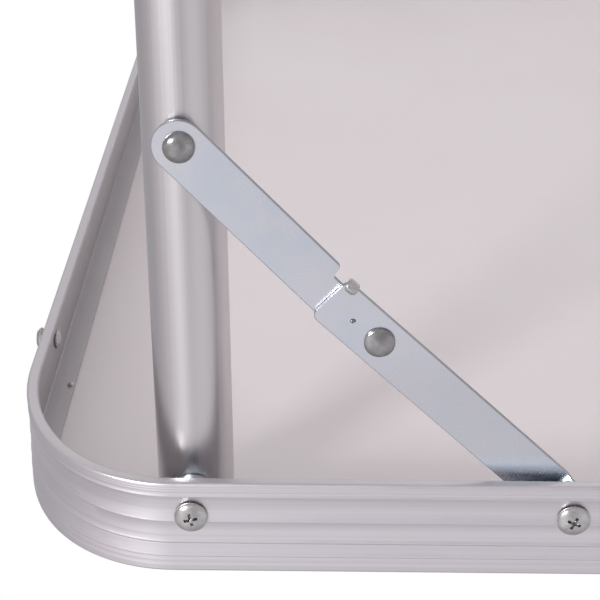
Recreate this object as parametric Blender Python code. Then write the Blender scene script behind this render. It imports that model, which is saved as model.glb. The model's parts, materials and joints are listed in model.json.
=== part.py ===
"""Suitcase folding table in two hinged halves, with folding leg sets and knee braces.

Metres, +Z up. The origin is on the floor under the middle of the tabletop, X runs along the table.
Each half is modelled as the left one (towards -X); the right one is turned half a turn about Z.
Depths are measured down from the tabletop's outer face, insets from a side's outer face.
"""
from math import acos, atan2, cos, pi, radians, sin

import bmesh
import bpy
from mathutils import Vector

# ---------------------------------------------------------------- driving dimensions
TABLE_LENGTH = 1.800
TABLE_WIDTH = 0.700
TABLE_HEIGHT = 0.700
GAP = 0.0003  # clearance between pieces that touch
CLEAR = 0.02  # how far a cutter reaches past what it cuts

# edge extrusion
RAIL_HEIGHT = 0.033
WALL = 0.0016
LIP_CHAMFER = 0.0006
RIM_CHAMFER = 0.0010
RIM_WIDTH = 0.0041
RIM_DEPTH = 0.0024
LIP_WIDTH = 0.008
LIP_THICKNESS = 0.0014
LEDGE_WIDTH = 0.0100
LEDGE_DEPTH = 0.0073
LEDGE_THICKNESS = 0.0012
CORNER_X = 0.056  # the bend is a little longer across the table than along it
CORNER_Y = 0.076
CORNER_STEPS = 8
CENTRE_GAP = 0.0037  # between the two halves, filled by the hinge leaves

# leg set
PIVOT_INSET_X = 0.0620
PIVOT_DEPTH = 0.0210
LEG_RADIUS = 0.0125
LEG_WALL = 0.0012
LEG_INSET = 0.0248
LEG_TOP_RADIUS = 0.0130
LEG_SPLAY = radians(0.5)
CROSSBAR_RADIUS = 0.0095
CROSSBAR_HEIGHT = 0.140
FOOT_RADIUS = 0.0126
FOOT_HEIGHT = 0.012
FOOT_CHAMFER = 0.002
SPIGOT_LENGTH = 0.018
SPIGOT_CHAMFER = 0.001

# knee brace: two equal links that lie along the frame when folded
BRACE_REACH = 0.1200  # leg pivot to leg rivet, and leg pivot to frame pivot
OVER_CENTRE = 0.0020
LINK_WIDTH = 0.0160
LINK_THICKNESS = 0.0018
LINK_TAIL = 0.0210  # of the lower link past the knee
LOWER_LINK_INSET = 0.0071
LOWER_FOOT_INSET = 0.0045
JOGGLE_START = 0.0060
JOGGLE_END = 0.0105
UPPER_LINK_INSET = 0.0092
LINK_CORNER = 0.0022  # rounding of the lower link's square end
NOTCH_START = 0.0253  # distances from the knee; the lower link's stop rests in the notch
NOTCH_END = 0.0100
NOTCH_DEPTH = 0.0038
NOTCH_RAMP = 0.001

# fasteners
SHANK_RADIUS = 0.0025
HOLE_RADIUS = 0.0029
SCREW_HEAD_RADIUS = 0.00525
SCREW_HEAD_HEIGHT = 0.0028
SCREW_PAST_LEG = 0.006
RIVET_HEAD_RADIUS = 0.00475
RIVET_TAIL_HEIGHT = 0.0022
KNEE_HEAD_HEIGHT = 0.0019
HEAD_EDGE = 0.0008  # upright edge under a domed head
BUSH_RADIUS = 0.0082

# centre hinges
HINGE_SPACING = 0.400
HINGE_HALF_LENGTH = 0.028
LEAF_THICKNESS = 0.0014
LEAF_TOP_DEPTH = 0.012
HINGE_DEPTH = 0.0352
KNUCKLE_RADIUS = 0.0026
PIN_RADIUS = 0.0015
PIN_HEAD_RADIUS = 0.0021
PIN_HEAD_LENGTH = 0.0012

# latches and handle, on the short ends
LATCH_SPACING = 0.460
STUD_RADIUS = 0.0042
STUD_HEAD_HEIGHT = 0.0024
STUD_NECK = 0.0030  # wall to the underside of the keeper's head
CLENCH_RADIUS = 0.0038
HOOK_THICKNESS = 0.0020
HOOK_LENGTH = 0.0252
HOOK_WIDTH = 0.012
HOOK_TOE = 0.0045
HOOK_CHAMFER = 0.001
HANDLE_SPACING = 0.110
HANDLE_DROP = 0.034
HANDLE_ROD = 0.0036
HANDLE_BEND = 0.008
HANDLE_AXIS_OUT = 0.0055
HANDLE_END_INSET = 0.002  # rod end to the bracket's outer end
BRACKET_LENGTH = 0.014
BRACKET_OUT = 0.0095
BRACKET_HALF_HEIGHT = 0.011
BRACKET_SHOULDER = 0.0062  # half height of the bracket where its round nose starts

# ---------------------------------------------------------------- derived places
HALF_EDGE_X = -CENTRE_GAP / 2
PIVOT_X = -TABLE_LENGTH / 2 + PIVOT_INSET_X
PIVOT_Z = TABLE_HEIGHT - PIVOT_DEPTH
LEG_PIVOT = Vector((PIVOT_X, PIVOT_Z))
FRAME_PIVOT = LEG_PIVOT + Vector((BRACE_REACH, 0))
LEG_RIVET = LEG_PIVOT + BRACE_REACH * Vector((-sin(LEG_SPLAY), -cos(LEG_SPLAY)))
BRACE_MIDDLE = (FRAME_PIVOT + LEG_RIVET) / 2
KNEE = BRACE_MIDDLE + OVER_CENTRE * (LEG_PIVOT - BRACE_MIDDLE).normalized()
LINK_LENGTH = (KNEE - LEG_RIVET).length
FAR_LEG_SURFACE = LEG_INSET + LEG_RADIUS
LEG_LENGTH = (PIVOT_Z - FOOT_HEIGHT) / cos(LEG_SPLAY)

for old in list(bpy.data.objects):
    bpy.data.objects.remove(old, do_unlink=True)


# ---------------------------------------------------------------- materials
def material(name, colour, roughness, metallic=0.0):
    made = bpy.data.materials.new(name)
    made.use_nodes = True
    shader = made.node_tree.nodes["Principled BSDF"]
    shader.inputs["Base Color"].default_value = (*colour, 1.0)
    shader.inputs["Roughness"].default_value = roughness
    shader.inputs["Metallic"].default_value = metallic
    return made


EXTRUSION = material("extruded_aluminium", (0.72, 0.71, 0.73), 0.35, 1.0)
TUBE = material("satin_tube", (0.62, 0.62, 0.63), 0.28, 1.0)
BOARD = material("laminated_board", (0.80, 0.77, 0.76), 0.45)
ZINC = material("zinc_plate", (0.60, 0.65, 0.72), 0.30, 1.0)
NICKEL = material("bright_fastener", (0.74, 0.74, 0.73), 0.22, 1.0)
PLASTIC = material("grey_plastic", (0.10, 0.10, 0.11), 0.50)


# ---------------------------------------------------------------- mesh helpers
def add_object(name, shape, surface, parent=None, location=(0, 0, 0)):
    """Turn a bmesh into a named object with outward faces."""
    bmesh.ops.remove_doubles(shape, verts=shape.verts, dist=1e-6)
    bmesh.ops.recalc_face_normals(shape, faces=shape.faces)
    mesh = bpy.data.meshes.new(name)
    shape.to_mesh(mesh)
    shape.free()
    mesh.shade_smooth()
    mesh.set_sharp_from_angle(angle=radians(35))
    if surface:
        mesh.materials.append(surface)
    made = bpy.data.objects.new(name, mesh)
    made.location = location
    made.parent = parent
    bpy.context.collection.objects.link(made)
    return made


def add_pivot(name, location, parent=None, turn_y=0.0):
    """An empty on a joint's axis, which carries the pieces that turn about it."""
    made = bpy.data.objects.new(name, None)
    made.location = location
    made.rotation_euler.y = turn_y
    made.parent = parent
    bpy.context.collection.objects.link(made)
    return made


def loft(rings, closed_loop=False):
    """Skin a list of equal rings of points; the ends are capped unless the loop closes."""
    shape = bmesh.new()
    rows = [[shape.verts.new(point) for point in ring] for ring in rings]
    pairs = list(zip(rows, rows[1:]))
    if closed_loop:
        pairs.append((rows[-1], rows[0]))
    for first, second in pairs:
        for i in range(len(first)):
            j = (i + 1) % len(first)
            shape.faces.new((first[i], first[j], second[j], second[i]))
    if not closed_loop:
        shape.faces.new(rows[0])
        shape.faces.new(rows[-1])
    return shape


def turned(profile, steps, closed_loop=False):
    """Turn a (radius, height) profile about Z; zero radii at its ends become poles."""
    shape = bmesh.new()
    angles = [2 * pi * (k + 0.5) / steps for k in range(steps)]
    rows = []
    for radius, height in profile:
        if radius == 0:
            rows.append([shape.verts.new((0, 0, height))])
        else:
            rows.append([shape.verts.new((radius * cos(a), radius * sin(a), height)) for a in angles])
    pairs = list(zip(rows, rows[1:]))
    if closed_loop:
        pairs.append((rows[-1], rows[0]))
    for first, second in pairs:
        for i in range(steps):
            j = (i + 1) % steps
            corners = [first[i % len(first)], first[j % len(first)],
                       second[j % len(second)], second[i % len(second)]]
            shape.faces.new(list(dict.fromkeys(corners)))
    return shape


def drill(shape, centre, direction, radius=HOLE_RADIUS, reach=0.003, steps=12):
    """Add a short cylinder across a wall to a cutter."""
    turn = Vector(direction).to_track_quat("Z", "Y").to_matrix()
    circle = [2 * pi * (k + 0.5) / steps for k in range(steps)]
    rows = []
    for end in (-reach, reach):
        local = [Vector((radius * cos(a), radius * sin(a), end)) for a in circle]
        rows.append([shape.verts.new(Vector(centre) + turn @ point) for point in local])
    bridge(shape, rows)


def bridge(shape, rows):
    """Close two equal rows of vertices into a capped body."""
    for k in range(len(rows[0])):
        following = (k + 1) % len(rows[0])
        shape.faces.new((rows[0][k], rows[0][following], rows[1][following], rows[1][k]))
    shape.faces.new(rows[0])
    shape.faces.new(rows[1])


def arc(centre, radii, start, sweep, steps):
    """Points of an elliptical arc, both ends included, as (u, v) pairs."""
    angles = [start + sweep * k / steps for k in range(steps + 1)]
    return [(centre[0] + radii[0] * cos(a), centre[1] + radii[1] * sin(a)) for a in angles]


def aim(piece, direction):
    """Turn a piece so that its local +Z points along a direction."""
    piece.rotation_euler = Vector(direction).to_track_quat("Z", "Y").to_euler()
    return piece


def prism(outline, low, high, to_point):
    """Extrude a closed outline from low to high; to_point(u, v, w) places each corner."""
    return loft([[to_point(u, v, w) for u, v in outline] for w in (low, high)])


def cutter(name, shape, parent, location, direction=None):
    made = add_object(name, shape, None, parent, location)
    if direction:
        aim(made, direction)
    made.hide_render = True
    made.display_type = "WIRE"
    return made


def cut(piece, tool, operation="DIFFERENCE"):
    change = piece.modifiers.new(tool.name, "BOOLEAN")
    change.operation = operation
    change.object = tool
    change.solver = "EXACT"


def rod(radius, low, high, steps=12):
    return turned([(0, low), (radius, low), (radius, high), (0, high)], steps)


def dome(radius, base, top, rings=2):
    """Profile points of a shallow domed head, from its rim to its crown."""
    points = []
    for k in range(rings):
        angle = pi / 2 * k / rings
        points.append((radius * cos(angle), base + (top - base) * sin(angle)))
    return points + [(0, top)]


# ---------------------------------------------------------------- frame of one half
def rail_profile():
    """Section of the edge extrusion as (inset, depth) points, in order round its skin."""
    rim_top = RAIL_HEIGHT - RIM_DEPTH
    ledge_end = LEDGE_DEPTH + LEDGE_THICKNESS
    return [
        (LIP_CHAMFER, 0.0), (0.0, LIP_CHAMFER), (0.0, RAIL_HEIGHT - RIM_CHAMFER),
        (RIM_CHAMFER, RAIL_HEIGHT), (RIM_WIDTH - RIM_CHAMFER, RAIL_HEIGHT),
        (RIM_WIDTH, RAIL_HEIGHT - RIM_CHAMFER), (RIM_WIDTH, rim_top),
        (WALL, rim_top - RIM_CHAMFER), (WALL, ledge_end), (LEDGE_WIDTH, ledge_end),
        (LEDGE_WIDTH, LEDGE_DEPTH), (WALL, LEDGE_DEPTH), (WALL, LIP_THICKNESS),
        (LIP_WIDTH, LIP_THICKNESS), (LIP_WIDTH, LIP_CHAMFER), (LIP_WIDTH - LIP_CHAMFER, 0.0),
    ]


def half_outline(inset, mitre_gap=0.0):
    """Plan of a half at an inset: square at the centre edge, bent at the two outer corners."""
    side = TABLE_WIDTH / 2
    end_x = HALF_EDGE_X - inset - mitre_gap
    points = [(end_x, side - inset)]
    centre_x = -TABLE_LENGTH / 2 + CORNER_X
    radii = (CORNER_X - inset, CORNER_Y - inset)
    for sign, start in ((1, pi / 2), (-1, pi)):
        points += arc((centre_x, sign * (side - CORNER_Y)), radii, start, pi / 2, CORNER_STEPS)
    points.append((end_x, -(side - inset)))
    return points


def add_frame(half, label):
    """Bent edge extrusion, mitred centre rail and the board that they hold."""
    profile = rail_profile()
    plans = [half_outline(inset, GAP) for inset, _ in profile]
    rings = [[(*plans[p][k], TABLE_HEIGHT - profile[p][1]) for p in range(len(profile))]
             for k in range(len(plans[0]))]
    bow = add_object(f"frame_bow_{label}", loft(rings), EXTRUSION, half)

    holes = bmesh.new()
    for side in (1, -1):
        for x in (LEG_PIVOT.x, FRAME_PIVOT.x):
            drill(holes, (x, side * (TABLE_WIDTH / 2 - WALL / 2), PIVOT_Z), (0, 1, 0))
        drill(holes, (-TABLE_LENGTH / 2 + WALL / 2, side * LATCH_SPACING / 2, PIVOT_Z), (1, 0, 0))
    cut(bow, cutter(f"frame_bow_{label}_holes", holes, half, (0, 0, 0)))

    ends = []
    for side in (1, -1):
        reach = TABLE_WIDTH / 2 - GAP
        ends.append([(HALF_EDGE_X - inset, side * (reach - inset), TABLE_HEIGHT - depth)
                     for inset, depth in profile])
    add_object(f"centre_rail_{label}", loft(ends), EXTRUSION, half)

    plan = half_outline(WALL + GAP)
    top = TABLE_HEIGHT - LIP_THICKNESS - GAP
    bottom = TABLE_HEIGHT - LEDGE_DEPTH + GAP
    board = prism(plan, bottom, top, lambda x, y, z: (x, y, z))
    add_object(f"table_board_{label}", board, BOARD, half)


# ---------------------------------------------------------------- leg set
def add_leg(pivot, label, side):
    """A tube with a rounded upper end, cross holes and a plug for a foot."""
    y = side * (TABLE_WIDTH / 2 - LEG_INSET)
    inner = LEG_RADIUS - LEG_WALL
    uncut_top = LEG_TOP_RADIUS + GAP
    tube = turned([(LEG_RADIUS, uncut_top), (LEG_RADIUS, -LEG_LENGTH),
                   (inner, -LEG_LENGTH), (inner, uncut_top)], 24, closed_loop=True)
    leg = add_object(f"leg_tube_{label}", tube, TUBE, pivot, (0, y, 0))

    outline = [(-CLEAR, 0), (-CLEAR, CLEAR), (CLEAR, CLEAR), (CLEAR, 0)]
    outline += arc((0, 0), (LEG_TOP_RADIUS, LEG_TOP_RADIUS), 0, pi, 10)
    trim = prism(outline, -CLEAR, CLEAR, lambda x, z, y_place: (x, y_place, z))
    cut(leg, cutter(f"leg_tube_{label}_rounding", trim, pivot, (0, y, 0)))

    holes = bmesh.new()
    for depth in (0.0, BRACE_REACH):
        drill(holes, (0, 0, -depth), (0, 1, 0), reach=CLEAR)
    cut(leg, cutter(f"leg_tube_{label}_holes", holes, pivot, (0, y, 0)))

    spigot = inner - GAP
    plug_top = -LEG_LENGTH + SPIGOT_LENGTH
    plug_end = -LEG_LENGTH - FOOT_HEIGHT
    plug = turned([(0, plug_top), (spigot - SPIGOT_CHAMFER, plug_top), (spigot, plug_top - SPIGOT_CHAMFER),
                   (spigot, -LEG_LENGTH - GAP), (FOOT_RADIUS, -LEG_LENGTH - GAP),
                   (FOOT_RADIUS, plug_end + FOOT_CHAMFER), (FOOT_RADIUS - FOOT_CHAMFER, plug_end),
                   (0, plug_end)], 16)
    flatten_on_floor(plug)
    add_object(f"foot_plug_{label}", plug, PLASTIC, pivot, (0, y, 0))


def flatten_on_floor(shape):
    """Level the lowest points of a foot that is drawn along a splayed leg."""
    lowest = min(vertex.co.z for vertex in shape.verts)
    for vertex in shape.verts:
        if vertex.co.z < lowest + 1e-5:
            vertex.co.z = (vertex.co.x * sin(LEG_SPLAY) - PIVOT_Z) / cos(LEG_SPLAY)


def add_crossbar(pivot, label):
    """A tube across the leg set, coped to fit the legs."""
    half_span = TABLE_WIDTH / 2 - LEG_INSET
    inner = CROSSBAR_RADIUS - LEG_WALL
    bar = turned([(CROSSBAR_RADIUS, -half_span), (CROSSBAR_RADIUS, half_span),
                  (inner, half_span), (inner, -half_span)], 16, closed_loop=True)
    drop = (PIVOT_Z - CROSSBAR_HEIGHT) / cos(LEG_SPLAY)
    crossbar = aim(add_object(f"crossbar_{label}", bar, TUBE, pivot, (0, 0, -drop)), (0, 1, 0))
    for side, name in ((1, "rear"), (-1, "front")):
        cope = rod(LEG_RADIUS + GAP, -CLEAR, CLEAR, 24)
        place = (0, side * half_span, -drop)
        cut(crossbar, cutter(f"crossbar_{label}_cope_{name}", cope, pivot, place))


# ---------------------------------------------------------------- knee brace
def strap(stations):
    """Flat bar along local X from (along, low edge, high edge, inset) stations, inset along -Y."""
    rings = []
    for along, low, high, inset in stations:
        rings.append([(along, -inset, low), (along, -inset, high),
                      (along, -inset - LINK_THICKNESS, high), (along, -inset - LINK_THICKNESS, low)])
    return loft(rings)


def round_end(centre, inset, outwards, steps=6, tip=radians(12)):
    """Stations of a half-round end about a pivot, given from its blunt tip inwards."""
    radius = LINK_WIDTH / 2
    quarter = arc((0, 0), (radius, radius), tip, pi / 2 - tip, steps - 1)
    return [(centre + outwards * reach, -half, half, inset) for reach, half in quarter]


def add_link(name, stations, pivot_point, towards, side, parent, holes):
    """A brace link whose local X runs from its pivot towards the knee."""
    along = towards - pivot_point
    shape = strap(stations)
    if side < 0:
        for vertex in shape.verts:
            vertex.co.y = -vertex.co.y
    place = (pivot_point.x, side * TABLE_WIDTH / 2, pivot_point.y)
    carrier = add_pivot(f"{name}_pivot", place, parent, atan2(-along.y, along.x))
    link = add_object(name, shape, ZINC, carrier)
    bores = bmesh.new()
    for place, inset in holes:
        drill(bores, (place, -side * (inset + LINK_THICKNESS / 2), 0), (0, 1, 0))
    cut(link, cutter(f"{name}_holes", bores, carrier, (0, 0, 0)))
    return link


def add_brace(half, label, side):
    """Lower link on the frame and upper link on the leg, meeting at the knee."""
    edge = LINK_WIDTH / 2
    notch_start, notch_end = LINK_LENGTH - NOTCH_START, LINK_LENGTH - NOTCH_END
    upper = round_end(0, UPPER_LINK_INSET, -1)
    for x, depth in ((notch_start, 0.0), (notch_start + NOTCH_RAMP, NOTCH_DEPTH),
                     (notch_end - NOTCH_RAMP, NOTCH_DEPTH), (notch_end, 0.0)):
        upper.append((x, -edge + depth, edge, UPPER_LINK_INSET))
    upper += reversed(round_end(LINK_LENGTH, UPPER_LINK_INSET, 1))
    add_link(f"brace_upper_{label}", upper, LEG_RIVET, KNEE, side, half, [(0, UPPER_LINK_INSET)])

    lower = round_end(0, LOWER_FOOT_INSET, -1)
    lower += [(JOGGLE_START, -edge, edge, LOWER_FOOT_INSET),
              (JOGGLE_END, -edge, edge, LOWER_LINK_INSET)]
    corner = (LINK_LENGTH + LINK_TAIL - LINK_CORNER, edge - LINK_CORNER)
    for x, half_width in arc(corner, (LINK_CORNER, LINK_CORNER), pi / 2, -pi / 2, 3):
        lower.append((x, -half_width, half_width, LOWER_LINK_INSET))
    add_link(f"brace_lower_{label}", lower, FRAME_PIVOT, KNEE, side, half,
             [(0, LOWER_FOOT_INSET), (LINK_LENGTH, LOWER_LINK_INSET)])


# ---------------------------------------------------------------- fasteners
def add_side_fastener(name, profile, point, side, half, closed_loop=False, steps=10):
    """A turned piece on an axis across the table; heights run inwards from the side's outer face."""
    piece = add_object(name, turned(profile, steps, closed_loop), NICKEL, half,
                       (point.x, side * TABLE_WIDTH / 2, point.y))
    return aim(piece, (0, -side, 0))


def screw_head():
    """Truss head outside the wall, from its crown to its bearing face."""
    skin = dome(SCREW_HEAD_RADIUS, HEAD_EDGE, SCREW_HEAD_HEIGHT)
    crown = [(radius, -height) for radius, height in reversed(skin)]
    return crown + [(SCREW_HEAD_RADIUS, -GAP), (SHANK_RADIUS, -GAP)]


def add_leg_fasteners(half, label, side):
    end = FAR_LEG_SURFACE + SCREW_PAST_LEG
    screw = screw_head() + [(SHANK_RADIUS, end), (0, end)]
    add_side_fastener(f"leg_pivot_screw_{label}", screw, LEG_PIVOT, side, half)

    bush_start = WALL + GAP
    bush_end = LEG_INSET - LEG_RADIUS - GAP
    bush = [(HOLE_RADIUS, bush_start), (BUSH_RADIUS, bush_start),
            (BUSH_RADIUS, bush_end), (HOLE_RADIUS, bush_end)]
    add_side_fastener(f"leg_pivot_bush_{label}", bush, LEG_PIVOT, side, half, True, 16)

    head_top = LOWER_FOOT_INSET + LINK_THICKNESS + GAP
    head_base = UPPER_LINK_INSET - GAP
    skin = dome(RIVET_HEAD_RADIUS, HEAD_EDGE / 2, head_base - head_top)
    rivet = [(radius, head_base - height) for radius, height in reversed(skin)]
    washer_start = UPPER_LINK_INSET + LINK_THICKNESS + GAP
    washer_end = LEG_INSET - LEG_RADIUS - GAP
    tail = FAR_LEG_SURFACE + GAP
    rivet += [(RIVET_HEAD_RADIUS, head_base), (SHANK_RADIUS, head_base),
              (SHANK_RADIUS, washer_start), (RIVET_HEAD_RADIUS, washer_start),
              (RIVET_HEAD_RADIUS, washer_end), (SHANK_RADIUS, washer_end),
              (SHANK_RADIUS, tail), (RIVET_HEAD_RADIUS, tail)]
    rivet += dome(RIVET_HEAD_RADIUS, FAR_LEG_SURFACE + HEAD_EDGE, FAR_LEG_SURFACE + RIVET_TAIL_HEIGHT)
    add_side_fastener(f"leg_rivet_{label}", rivet, LEG_RIVET, side, half)


def add_brace_fasteners(half, label, side):
    spacer_end = LOWER_FOOT_INSET - GAP
    foot_back = LOWER_FOOT_INSET + LINK_THICKNESS
    screw = screw_head() + [(SHANK_RADIUS, WALL + GAP), (RIVET_HEAD_RADIUS, WALL + GAP),
                            (RIVET_HEAD_RADIUS, spacer_end), (SHANK_RADIUS, spacer_end),
                            (SHANK_RADIUS, foot_back), (0, foot_back)]
    add_side_fastener(f"brace_pivot_screw_{label}", screw, FRAME_PIVOT, side, half)

    head_base = LOWER_LINK_INSET - GAP
    link_back = LOWER_LINK_INSET + LINK_THICKNESS
    skin = dome(RIVET_HEAD_RADIUS, HEAD_EDGE, KNEE_HEAD_HEIGHT)
    rivet = [(radius, head_base - height) for radius, height in reversed(skin)]
    rivet += [(RIVET_HEAD_RADIUS, head_base), (SHANK_RADIUS, head_base),
              (SHANK_RADIUS, link_back), (0, link_back)]
    add_side_fastener(f"knee_rivet_{label}", rivet, KNEE, side, half)


def add_end_fastener(name, neck, half, side):
    """Headed stud through the short end, with its inner end clenched over."""
    head_base = neck + GAP
    skin = dome(STUD_RADIUS, HEAD_EDGE, STUD_HEAD_HEIGHT)
    stud = [(radius, -head_base - height) for radius, height in reversed(skin)]
    stud += [(STUD_RADIUS, -head_base), (SHANK_RADIUS, -head_base), (SHANK_RADIUS, WALL + GAP),
             (CLENCH_RADIUS, WALL + GAP)]
    stud += dome(CLENCH_RADIUS, WALL + HEAD_EDGE, WALL + RIVET_TAIL_HEIGHT)
    piece = add_object(name, turned(stud, 10), NICKEL, half,
                       (-TABLE_LENGTH / 2, side * LATCH_SPACING / 2, PIVOT_Z))
    return aim(piece, (1, 0, 0))


# ---------------------------------------------------------------- centre hinges
def add_hinge(label, y):
    """Two plain-bearing leaves between the centre rails, one beyond the other, on one pin."""
    axis_z = TABLE_HEIGHT - HINGE_DEPTH
    leaf_inner = GAP / 2
    leaf_outer = leaf_inner + LEAF_THICKNESS
    curl_start = acos(leaf_outer / KNUCKLE_RADIUS)
    curl_end = acos(leaf_inner / KNUCKLE_RADIUS) - 2 * pi
    top = HINGE_DEPTH - LEAF_TOP_DEPTH
    outline = [(leaf_inner, top), (leaf_outer, top)]
    outline += arc((0, 0), (KNUCKLE_RADIUS, KNUCKLE_RADIUS), curl_start, curl_end - curl_start, 12)
    spans = ((-1, "left", GAP / 2, HINGE_HALF_LENGTH), (1, "right", -HINGE_HALF_LENGTH, -GAP / 2))
    for sign, name, low, high in spans:
        carrier = add_pivot(f"hinge_{label}_{name}_axis", (0, y, axis_z))
        leaf = add_object(f"hinge_leaf_{name}_{label}",
                          prism(outline, low, high, lambda u, v, w: (sign * u, w, v)), ZINC, carrier)
        bore = rod(PIN_RADIUS + GAP, -HINGE_HALF_LENGTH - CLEAR, HINGE_HALF_LENGTH + CLEAR)
        cut(leaf, cutter(f"hinge_leaf_{name}_{label}_bore", bore, carrier, (0, 0, 0), (0, 1, 0)))
    head = HINGE_HALF_LENGTH + GAP
    reach = head + PIN_HEAD_LENGTH
    pin = [(0, -reach), (PIN_HEAD_RADIUS, -reach), (PIN_HEAD_RADIUS, -head), (PIN_RADIUS, -head),
           (PIN_RADIUS, head), (PIN_HEAD_RADIUS, head), (PIN_HEAD_RADIUS, reach), (0, reach)]
    pin_piece = add_object(f"hinge_pin_{label}", turned(pin, 10), NICKEL, None, (0, y, axis_z))
    aim(pin_piece, (0, 1, 0))


# ---------------------------------------------------------------- latches and handle
def add_hook(half, label, side):
    """Flat swing hook that hangs from its screw; its slot closes on the other half's stud."""
    half_width = HOOK_WIDTH / 2
    throat = SHANK_RADIUS + GAP
    mouth = -HOOK_LENGTH + throat
    floor = -HOOK_LENGTH - throat
    outline = arc((0, 0), (half_width, half_width), 0, pi, 8)
    outline += [(-half_width, mouth + HOOK_CHAMFER), (-half_width + HOOK_CHAMFER, mouth)]
    outline += arc((0, -HOOK_LENGTH), (throat, throat), pi / 2, -pi, 4)
    outline.append((-half_width + HOOK_CHAMFER, floor))
    outline += arc((0, floor), (half_width, HOOK_TOE), pi, pi, 6)[1:]
    near, far = 2 * GAP, HOOK_THICKNESS + 2 * GAP
    place = (-TABLE_LENGTH / 2, side * LATCH_SPACING / 2, PIVOT_Z)
    carrier = add_pivot(f"latch_hook_{label}_axis", place, half)
    hook = add_object(f"latch_hook_{label}",
                      prism(outline, -near, -far, lambda u, v, w: (w, side * u, v)), ZINC, carrier)
    bore = rod(HOLE_RADIUS, -CLEAR, CLEAR)
    cut(hook, cutter(f"latch_hook_{label}_bore", bore, carrier, (0, 0, 0), (1, 0, 0)))


def add_handle(half):
    """Bail handle that hangs from two brackets at the middle of the short end."""
    inner = HANDLE_SPACING / 2 - BRACKET_LENGTH / 2 - GAP - HANDLE_BEND
    outer = HANDLE_SPACING / 2 + BRACKET_LENGTH / 2 - HANDLE_END_INSET
    bend = (HANDLE_BEND, HANDLE_BEND)
    path = [(outer, 0)]
    path += arc((inner + HANDLE_BEND, -HANDLE_BEND), bend, pi / 2, pi / 2, 4)
    path += arc((inner - HANDLE_BEND, HANDLE_BEND - HANDLE_DROP), bend, 0, -pi / 2, 4)
    path += [(-y, z) for y, z in reversed(path)]

    rod_curve = bpy.data.curves.new("carrying_handle", "CURVE")
    rod_curve.dimensions = "3D"
    rod_curve.bevel_depth = HANDLE_ROD
    rod_curve.bevel_resolution = 2
    rod_curve.use_fill_caps = True
    spline = rod_curve.splines.new("POLY")
    spline.points.add(len(path) - 1)
    for point, (y, z) in zip(spline.points, path):
        point.co = (0, y, z, 1)
    rod_curve.materials.append(PLASTIC)
    handle = bpy.data.objects.new("carrying_handle", rod_curve)
    handle.parent = half
    handle.location = (-TABLE_LENGTH / 2 - HANDLE_AXIS_OUT, 0, PIVOT_Z)
    bpy.context.collection.objects.link(handle)

    nose = (BRACKET_OUT - HANDLE_AXIS_OUT, BRACKET_SHOULDER)
    outline = [(-GAP, -BRACKET_HALF_HEIGHT)]
    outline += arc((-HANDLE_AXIS_OUT, 0), nose, -pi / 2, -pi, 8)
    outline.append((-GAP, BRACKET_HALF_HEIGHT))
    for side, name in ((1, "front"), (-1, "rear")):
        centre = side * HANDLE_SPACING / 2
        low, high = centre - BRACKET_LENGTH / 2, centre + BRACKET_LENGTH / 2
        shape = prism(outline, low, high, lambda u, v, w: (u, w, v))
        bracket = add_object(f"handle_bracket_{name}", shape, PLASTIC, half,
                             (-TABLE_LENGTH / 2, 0, PIVOT_Z))
        bore = rod(HANDLE_ROD + GAP, -CLEAR, CLEAR)
        place = (-TABLE_LENGTH / 2 - HANDLE_AXIS_OUT, centre, PIVOT_Z)
        cut(bracket, cutter(f"handle_bracket_{name}_bore", bore, half, place, (0, 1, 0)))


# ---------------------------------------------------------------- the whole table
for half_name, turn in (("left", 0.0), ("right", pi)):
    half_root = add_pivot(f"half_{half_name}", (0, 0, 0))
    half_root.rotation_euler.z = turn
    add_frame(half_root, half_name)
    leg_pivot = add_pivot(f"leg_set_{half_name}", (PIVOT_X, 0, PIVOT_Z), half_root, LEG_SPLAY)
    add_crossbar(leg_pivot, half_name)
    for side_sign in (1, -1):
        world_side = "rear" if side_sign * cos(turn) > 0 else "front"
        tag = f"{half_name}_{world_side}"
        add_leg(leg_pivot, tag, side_sign)
        add_brace(half_root, tag, side_sign)
        add_leg_fasteners(half_root, tag, side_sign)
        add_brace_fasteners(half_root, tag, side_sign)
        if half_name == "left":
            add_end_fastener(f"keeper_stud_{world_side}", STUD_NECK, half_root, side_sign)
        else:
            add_hook(half_root, world_side, side_sign)
            over_hook = HOOK_THICKNESS + 3 * GAP
            add_end_fastener(f"hook_screw_{world_side}", over_hook, half_root, side_sign)
    if half_name == "right":
        add_handle(half_root)

for hinge_name, hinge_y in (("rear", HINGE_SPACING / 2), ("front", -HINGE_SPACING / 2)):
    add_hinge(hinge_name, hinge_y)
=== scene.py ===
"""Looks of the folding table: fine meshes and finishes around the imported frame, light and camera.

Metres, in the frame's own axes: +Z up, X along the table, the origin on the floor under the middle.
A corner's pieces are drawn for the left rear corner (-X, +Y) and mirrored into the other three.
Insets are measured inwards from the outer face of a side, depths down from the top of the lip.
"""
import json
from math import atan2, cos, pi, radians, sin, sqrt, tan

import bmesh
import bpy
from mathutils import Euler, Matrix, Vector


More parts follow.
